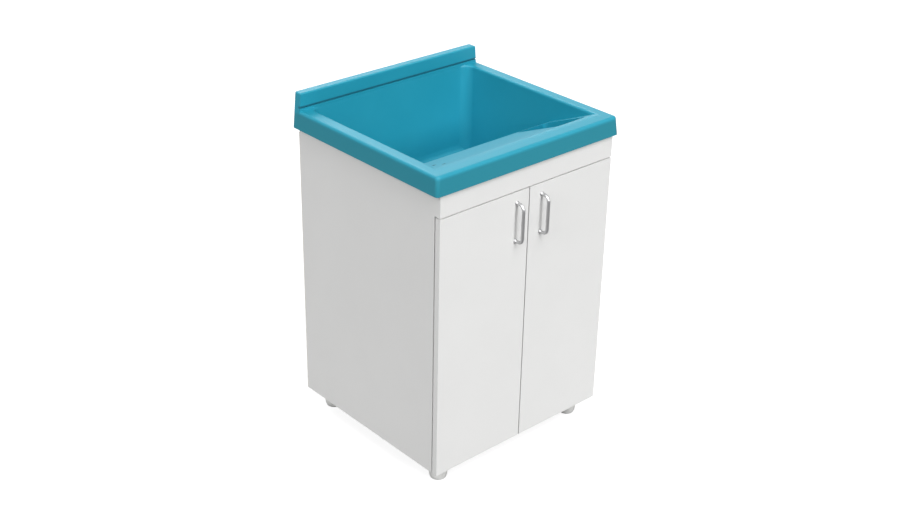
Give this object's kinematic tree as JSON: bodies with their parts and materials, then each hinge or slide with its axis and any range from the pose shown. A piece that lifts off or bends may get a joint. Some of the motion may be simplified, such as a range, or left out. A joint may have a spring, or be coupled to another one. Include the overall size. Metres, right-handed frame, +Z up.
{
  "type": "laundry sink cabinet",
  "caption": "Floor-standing cabinet with a pair of doors under a moulded laundry tub with scrubbing slope, soap dish and splash upstand.",
  "frame": {"origin": "on the floor, below the middle of the whole object with its pulls", "axes": "+Z up, +X to the right of someone facing the doors, +Y to the back, doors face -Y"},
  "size_m": [0.569, 0.5414, 0.8675],
  "materials": {
    "tub_plastic": "satin gloss",
    "melamine_board": "white melamine",
    "hardboard": "painted hardboard",
    "dowel_wood": "plain beech",
    "foot_plastic": "matt",
    "drain_plastic": "matt",
    "seal_rubber": "matt",
    "pull_metal": "satin nickel",
    "zinc_steel": "zinc plated"
  },
  "bodies": {
    "cabinet": {"back_panel": "hardboard", "bottom_panel": "melamine_board", "carcass_dowels": "dowel_wood", "drain_coupling_nut": "drain_plastic", "drain_gasket": "seal_rubber", "drain_lock_nut": "drain_plastic", "drain_strainer": "drain_plastic", "drain_tail_washer": "seal_rubber", "drain_tailpiece": "drain_plastic", "foot_front_left": "foot_plastic", "foot_front_right": "foot_plastic", "foot_rear_left": "foot_plastic", "foot_rear_right": "foot_plastic", "foot_screws": "zinc_steel", "front_fascia": "melamine_board", "hinge_arm_lower_left": "zinc_steel", "hinge_arm_lower_right": "zinc_steel", "hinge_arm_upper_left": "zinc_steel", "hinge_arm_upper_right": "zinc_steel", "hinge_plate_lower_left": "zinc_steel", "hinge_plate_lower_right": "zinc_steel", "hinge_plate_screws_left": "zinc_steel", "hinge_plate_screws_right": "zinc_steel", "hinge_plate_upper_left": "zinc_steel", "hinge_plate_upper_right": "zinc_steel", "rear_rail": "melamine_board", "side_panel_left": "melamine_board", "side_panel_right": "melamine_board", "tub": "tub_plastic"},
    "door_left": {"door_left": "melamine_board", "hinge_cup_lower_left": "zinc_steel", "hinge_cup_screws_left": "zinc_steel", "hinge_cup_upper_left": "zinc_steel", "hinge_pin_lower_left": "zinc_steel", "hinge_pin_upper_left": "zinc_steel", "pull_left": "pull_metal", "pull_screws_left": "zinc_steel"},
    "door_right": {"door_right": "melamine_board", "hinge_cup_lower_right": "zinc_steel", "hinge_cup_screws_right": "zinc_steel", "hinge_cup_upper_right": "zinc_steel", "hinge_pin_lower_right": "zinc_steel", "hinge_pin_upper_right": "zinc_steel", "pull_right": "pull_metal", "pull_screws_right": "zinc_steel"}
  },
  "joints": [
    {"name": "left_door_swing", "type": "hinge", "parent": "cabinet", "child": "door_left", "pos_m": [-0.2625, -0.2372, 0.143], "axis": [0, 0, -1], "range_deg": [0, 95]},
    {"name": "right_door_swing", "type": "hinge", "parent": "cabinet", "child": "door_right", "pos_m": [0.2625, -0.2372, 0.143], "axis": [0, 0, 1], "range_deg": [0, 95]}
  ]
}
